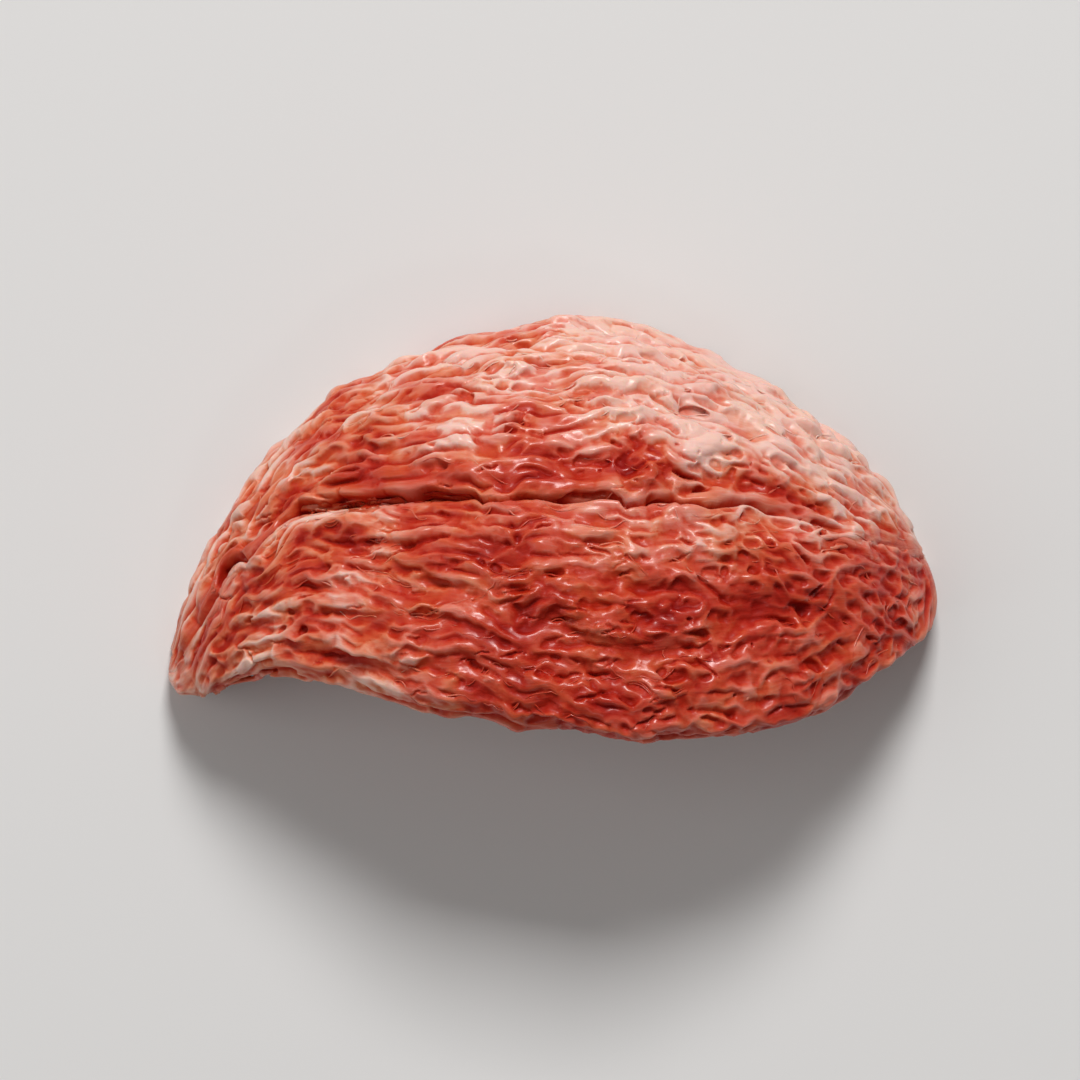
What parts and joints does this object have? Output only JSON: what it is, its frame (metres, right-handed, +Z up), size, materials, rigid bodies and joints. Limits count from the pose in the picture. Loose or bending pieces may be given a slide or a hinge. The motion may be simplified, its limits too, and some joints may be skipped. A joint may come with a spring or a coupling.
{
  "type": "edible birds nest",
  "caption": "Dried half-cup birds nest of fused red-brown strands, lying rim down with its hollow beneath it.",
  "frame": {"origin": "below the middle of the nest's box, on the surface that it rests on", "axes": "+X from the pointed foot to the blunt foot, +Y towards the rim, +Z up from the surface it rests on"},
  "size_m": [0.073, 0.0404, 0.0265],
  "materials": {
    "nest_strands": "satin"
  },
  "bodies": {
    "root": {"nest": "nest_strands"}
  },
  "joints": []
}
